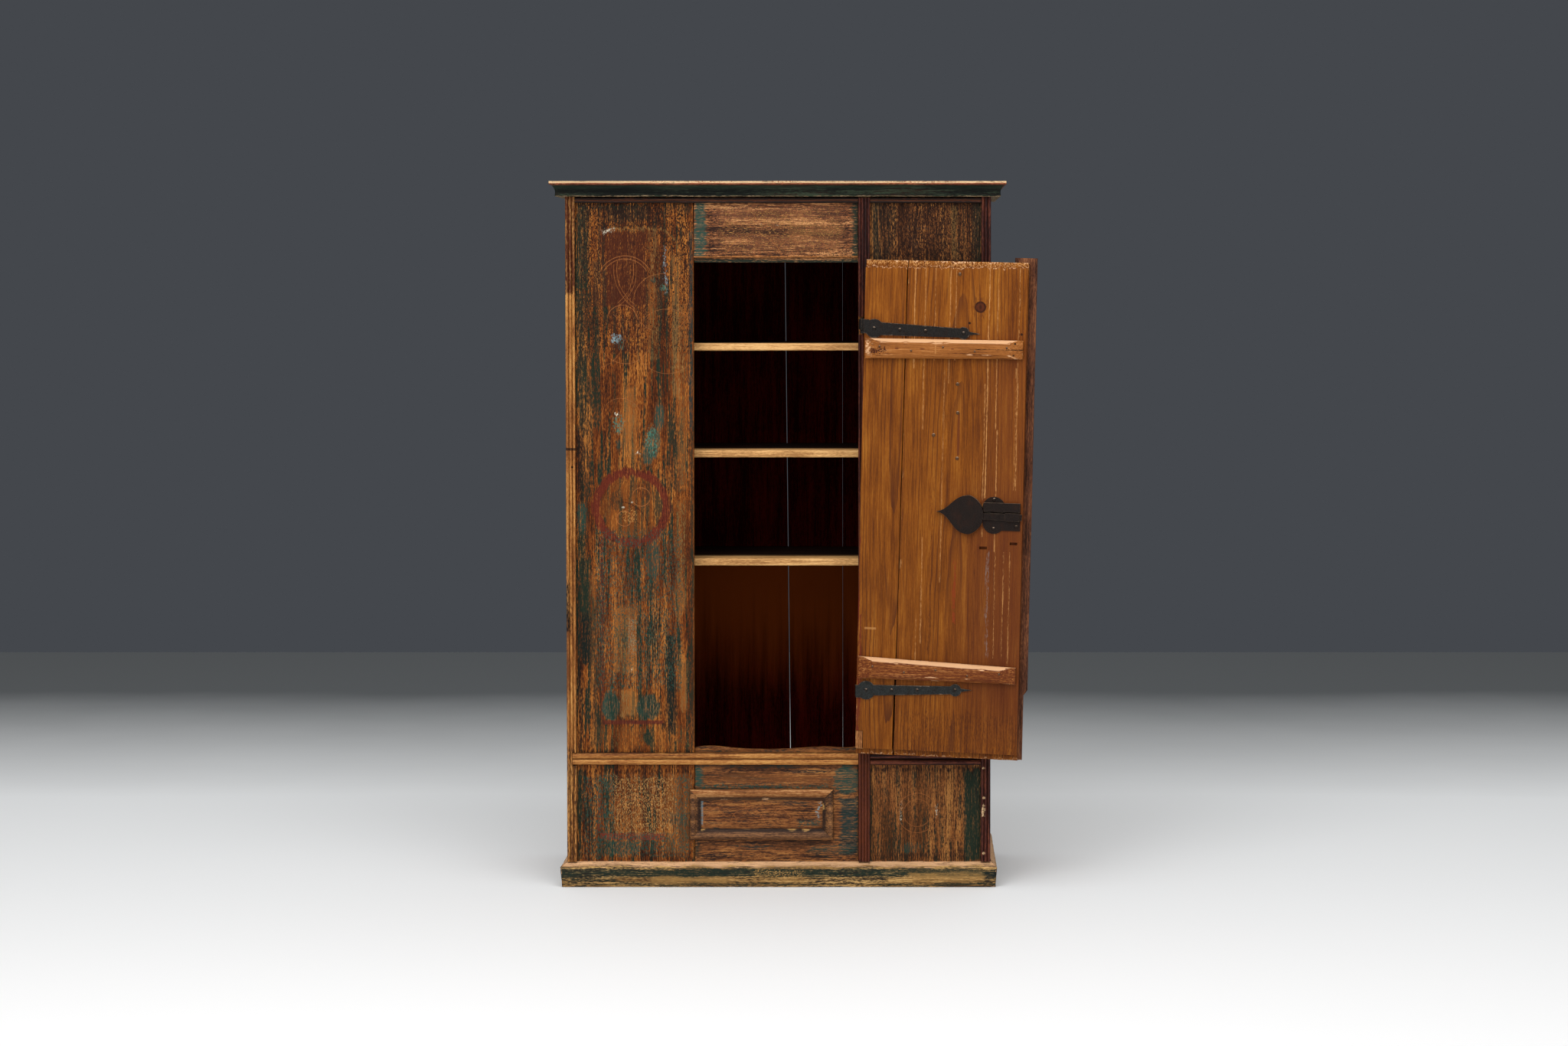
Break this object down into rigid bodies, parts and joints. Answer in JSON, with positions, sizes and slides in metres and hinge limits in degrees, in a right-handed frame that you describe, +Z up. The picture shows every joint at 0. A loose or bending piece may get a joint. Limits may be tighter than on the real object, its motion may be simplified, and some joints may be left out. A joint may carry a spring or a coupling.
{
  "type": "one-door store cupboard",
  "caption": "Free-standing board cupboard with shelves, a batten door swung wide on iron strap hinges, and a rim lock with a sliding bolt.",
  "frame": {"origin": "on the floor, on the cupboard's centre line, in the plane of the front boards' faces", "axes": "+Z up; +Y from the front towards the back; +X to the right as seen from the front. The open door hangs on the -Y side, at the right."},
  "size_m": [1.1315, 0.5351, 1.648],
  "materials": {
    "painted_board": "pine board with old distemper paint worn down to the wood",
    "painted_moulding": "planed pine moulding, old oil paint, chipped",
    "inner_board": "unpainted sawn pine, dark with age",
    "door_board": "unpainted planed pine, honey brown with age",
    "new_wood": "newer planed pine, unpainted",
    "wrought_iron": "hand-forged iron, black-brown scale with worn edges"
  },
  "bodies": {
    "carcass": {"side_board_left": "painted_board", "side_board_right": "painted_board", "front_board_left": "painted_board", "front_board_right": "painted_board", "frieze_board": "painted_board", "lower_front_board": "painted_board", "cornice_front": "painted_moulding", "cornice_left": "painted_moulding", "cornice_right": "painted_moulding", "plinth_front": "painted_moulding", "plinth_left": "painted_moulding", "plinth_right": "painted_moulding", "stile_moulding_left": "painted_moulding", "stile_moulding_right": "painted_moulding", "centre_moulding": "painted_moulding", "top_moulding_main": "painted_moulding", "top_moulding_right": "painted_moulding", "mid_moulding_left": "painted_moulding", "mid_moulding_right": "painted_moulding", "panel_frame_top": "painted_moulding", "panel_frame_bottom": "painted_moulding", "panel_frame_left": "painted_moulding", "panel_frame_right": "painted_moulding", "top_board": "inner_board", "bottom_board": "inner_board", "back_plank_left": "inner_board", "back_plank_middle": "inner_board", "back_plank_right": "inner_board", "shelf_upper": "inner_board", "shelf_middle": "inner_board", "shelf_lower": "inner_board", "shelf_cleats": "inner_board", "bottom_cleats": "inner_board", "hinge_pintle_upper": "wrought_iron", "hinge_pintle_lower": "wrought_iron", "bolt_keeper": "wrought_iron", "back_nails": "wrought_iron"},
    "door": {"door_board_main": "door_board", "door_board_hinge_side": "door_board", "door_corner_patch": "new_wood", "door_edge_strip": "painted_moulding", "door_batten_upper": "door_board", "door_batten_lower": "door_board", "hinge_strap_upper": "wrought_iron", "hinge_strap_lower": "wrought_iron", "batten_nails": "wrought_iron", "hinge_nails": "wrought_iron", "door_nails": "wrought_iron", "lock_plate": "wrought_iron", "lock_cover": "wrought_iron", "lock_rail": "wrought_iron", "lock_spring": "wrought_iron", "lock_rivets": "wrought_iron", "bolt_guide": "wrought_iron", "escutcheon": "wrought_iron"},
    "lock_bolt": {"lock_bolt": "wrought_iron"}
  },
  "joints": [
    {"name": "door_hinge", "type": "hinge", "parent": "carcass", "child": "door", "pos_m": [0.1857, -0.014, 0.463], "axis": [0.0113, 0, 0.9999], "range_deg": [-171, 9]},
    {"name": "bolt_slide", "type": "slide", "parent": "door", "child": "lock_bolt", "axis": [0.9874, -0.1564, -0.0225], "range_m": [0, 0.0175]}
  ]
}
